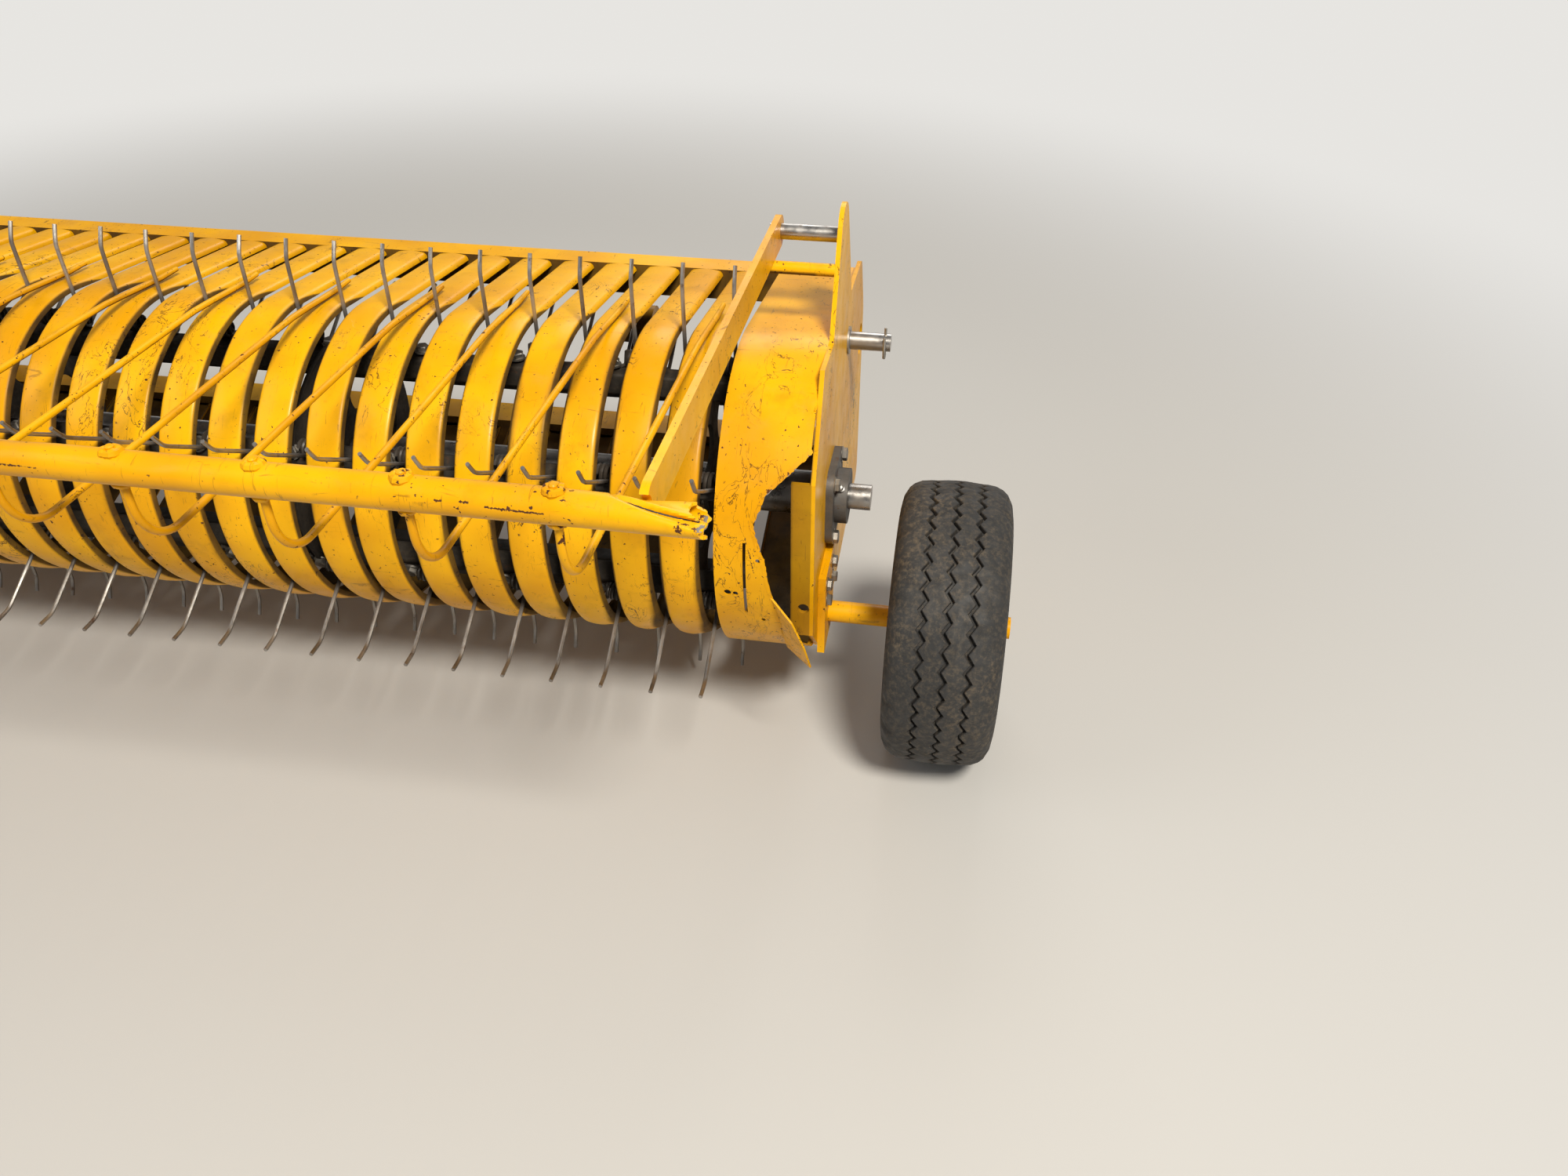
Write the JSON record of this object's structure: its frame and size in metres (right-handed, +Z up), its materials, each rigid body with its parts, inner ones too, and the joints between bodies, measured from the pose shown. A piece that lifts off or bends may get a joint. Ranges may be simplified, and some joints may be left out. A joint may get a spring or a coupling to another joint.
{
  "type": "pickup unit of a round baler",
  "caption": "Tined crop pickup of a round baler, with stripper bands, windguard and two gauge wheels.",
  "frame": {"origin": "on the pivot axis, midway between the two pivot bushes", "axes": "+X towards the baler's left side, +Y rearward into the baler, +Z up"},
  "size_m": [2.424, 1.031, 0.7149],
  "materials": {
    "yellow_paint": "gloss, chipped and dusty",
    "cast_iron": "rough",
    "bare_steel": "worn bare steel",
    "dark_steel": "dark, greasy",
    "rubber": "dusty"
  },
  "bodies": {
    "frame": {"stripper_bands_left": "yellow_paint", "stripper_bands_right": "yellow_paint", "end_band_left": "yellow_paint", "end_band_right": "yellow_paint", "torn_flap": "yellow_paint", "side_plate_left": "yellow_paint", "side_plate_right": "yellow_paint", "bearing_left": "cast_iron", "bearing_right": "cast_iron", "rear_beam": "yellow_paint", "top_rail": "yellow_paint", "pivot_arm_left": "yellow_paint", "pivot_arm_right": "yellow_paint", "gauge_bracket_left": "yellow_paint", "gauge_bracket_right": "yellow_paint", "guard_pivot_left": "bare_steel", "guard_pivot_right": "bare_steel", "guard_stop_left": "yellow_paint", "guard_stop_right": "yellow_paint", "lift_pin_left": "bare_steel", "lift_pin_right": "bare_steel", "chain_case": "yellow_paint"},
    "reel": {"reel_shaft": "bare_steel", "reel_discs": "dark_steel", "tine_rows": "bare_steel"},
    "windguard": {"guard_pipe": "yellow_paint", "guard_rods": "yellow_paint", "guard_arm_left": "yellow_paint", "guard_arm_right": "yellow_paint"},
    "gauge_wheel_left": {"tyre_left": "rubber", "rim_left": "yellow_paint"},
    "gauge_wheel_right": {"tyre_right": "rubber", "rim_right": "yellow_paint"},
    "input_shaft": {"drive_shaft": "bare_steel"}
  },
  "joints": [
    {"name": "reel_spin", "type": "hinge", "parent": "frame", "child": "reel", "pos_m": [0, -0.35, -0.07], "axis": [-1, 0, 0], "continuous": true},
    {"name": "windguard_lift", "type": "hinge", "parent": "frame", "child": "windguard", "pos_m": [0, -0.26, 0.26], "axis": [-1, 0, 0], "range_deg": [0, 35]},
    {"name": "gauge_wheel_left_spin", "type": "hinge", "parent": "frame", "child": "gauge_wheel_left", "pos_m": [1.125, -0.415, -0.22], "axis": [1, 0, 0], "continuous": true},
    {"name": "gauge_wheel_right_spin", "type": "hinge", "parent": "frame", "child": "gauge_wheel_right", "pos_m": [-1.125, -0.415, -0.22], "axis": [1, 0, 0], "continuous": true},
    {"name": "input_spin", "type": "hinge", "parent": "frame", "child": "input_shaft", "pos_m": [-1, 0, 0], "axis": [-1, 0, 0], "continuous": true}
  ],
  "couplings": [
    {"joint": "input_spin", "follows": "reel_spin", "ratio": 2}
  ]
}
